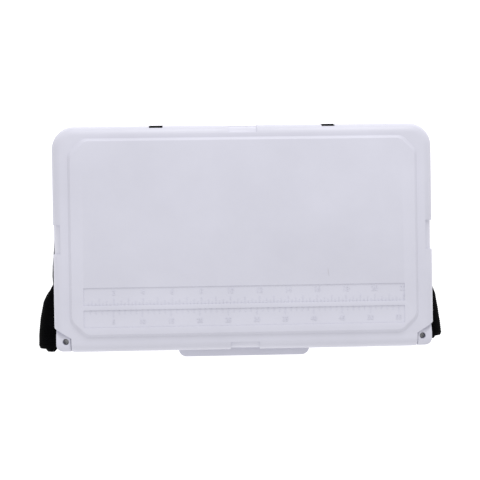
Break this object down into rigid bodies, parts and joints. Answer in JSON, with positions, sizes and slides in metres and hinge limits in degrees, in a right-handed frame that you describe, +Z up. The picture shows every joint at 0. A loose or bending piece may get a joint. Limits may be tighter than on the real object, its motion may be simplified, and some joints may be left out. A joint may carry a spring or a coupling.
{
  "type": "cooler chest",
  "caption": "Insulated double-wall cooler chest with a hinged ruled lid, T-latches, a drain plug and side carry handles.",
  "frame": {"origin": "middle of the footprint, on the floor under the feet", "axes": "+Z up, -Y towards the front with the latches, +X to the right of someone who faces the front"},
  "size_m": [0.752, 0.4124, 0.405],
  "materials": {
    "shell": "rotomoulded polyethylene, satin",
    "foam": "polyurethane foam",
    "trim": "moulded nylon, fine grain",
    "seal": "matte",
    "latch_rubber": "matte",
    "foot_rubber": "matte",
    "webbing": "woven polyester webbing",
    "grip": "ribbed soft rubber",
    "steel": "stainless",
    "bush": "nylon"
  },
  "bodies": {
    "tub": {"tub_shell": "shell", "tub_foam": "foam", "tub_fill_plug": "trim", "hinge_pins": "steel", "hinge_screws": "steel", "latch_brackets": "trim", "latch_pins": "steel", "latch_screws": "steel", "drain_fitting": "trim", "drain_nut": "trim", "drain_washer": "seal", "handle_anchors": "trim", "anchor_pins": "steel", "anchor_screws": "steel", "feet": "foot_rubber", "foot_screws": "steel"},
    "lid": {"lid_shell": "shell", "lid_foam": "foam", "lid_fill_plug": "trim", "lid_gasket": "seal", "hinge_bushes": "bush"},
    "latch_left": {"latch_left": "latch_rubber"},
    "latch_right": {"latch_right": "latch_rubber"},
    "plug_seal": {"drain_plug_seal": "seal"},
    "plug": {"drain_plug": "trim"},
    "handle_left": {"handle_ends_left": "trim", "handle_web_left": "webbing", "handle_grip_left": "grip"},
    "handle_right": {"handle_ends_right": "trim", "handle_web_right": "webbing", "handle_grip_right": "grip"}
  },
  "joints": [
    {"name": "lid_hinge", "type": "hinge", "parent": "tub", "child": "lid", "pos_m": [0, 0.17075, 0.361], "axis": [-1, 0, 0], "range_deg": [0, 100]},
    {"name": "latch_left_pivot", "type": "hinge", "parent": "tub", "child": "latch_left", "pos_m": [-0.152, -0.20025, 0.298], "axis": [1, 0, 0], "range_deg": [-8, 160]},
    {"name": "latch_right_pivot", "type": "hinge", "parent": "tub", "child": "latch_right", "pos_m": [0.152, -0.20025, 0.298], "axis": [1, 0, 0], "range_deg": [-8, 160]},
    {"name": "plug_travel", "type": "slide", "parent": "tub", "child": "plug_seal", "axis": [1, 0, 0], "range_m": [0, 0.012]},
    {"name": "plug_turn", "type": "hinge", "parent": "plug_seal", "child": "plug", "pos_m": [0.3, -0.00825, 0.072], "axis": [1, 0, 0], "range_deg": [0, 720]},
    {"name": "handle_left_swing", "type": "hinge", "parent": "tub", "child": "handle_left", "pos_m": [-0.3265, 0, 0.314], "axis": [0, 1, 0], "range_deg": [-5, 80]},
    {"name": "handle_right_swing", "type": "hinge", "parent": "tub", "child": "handle_right", "pos_m": [0.3265, 0, 0.314], "axis": [0, -1, 0], "range_deg": [-5, 80]}
  ],
  "couplings": [
    {"joint": "plug_turn", "follows": "plug_travel", "rad_per_m": 1047.2}
  ]
}
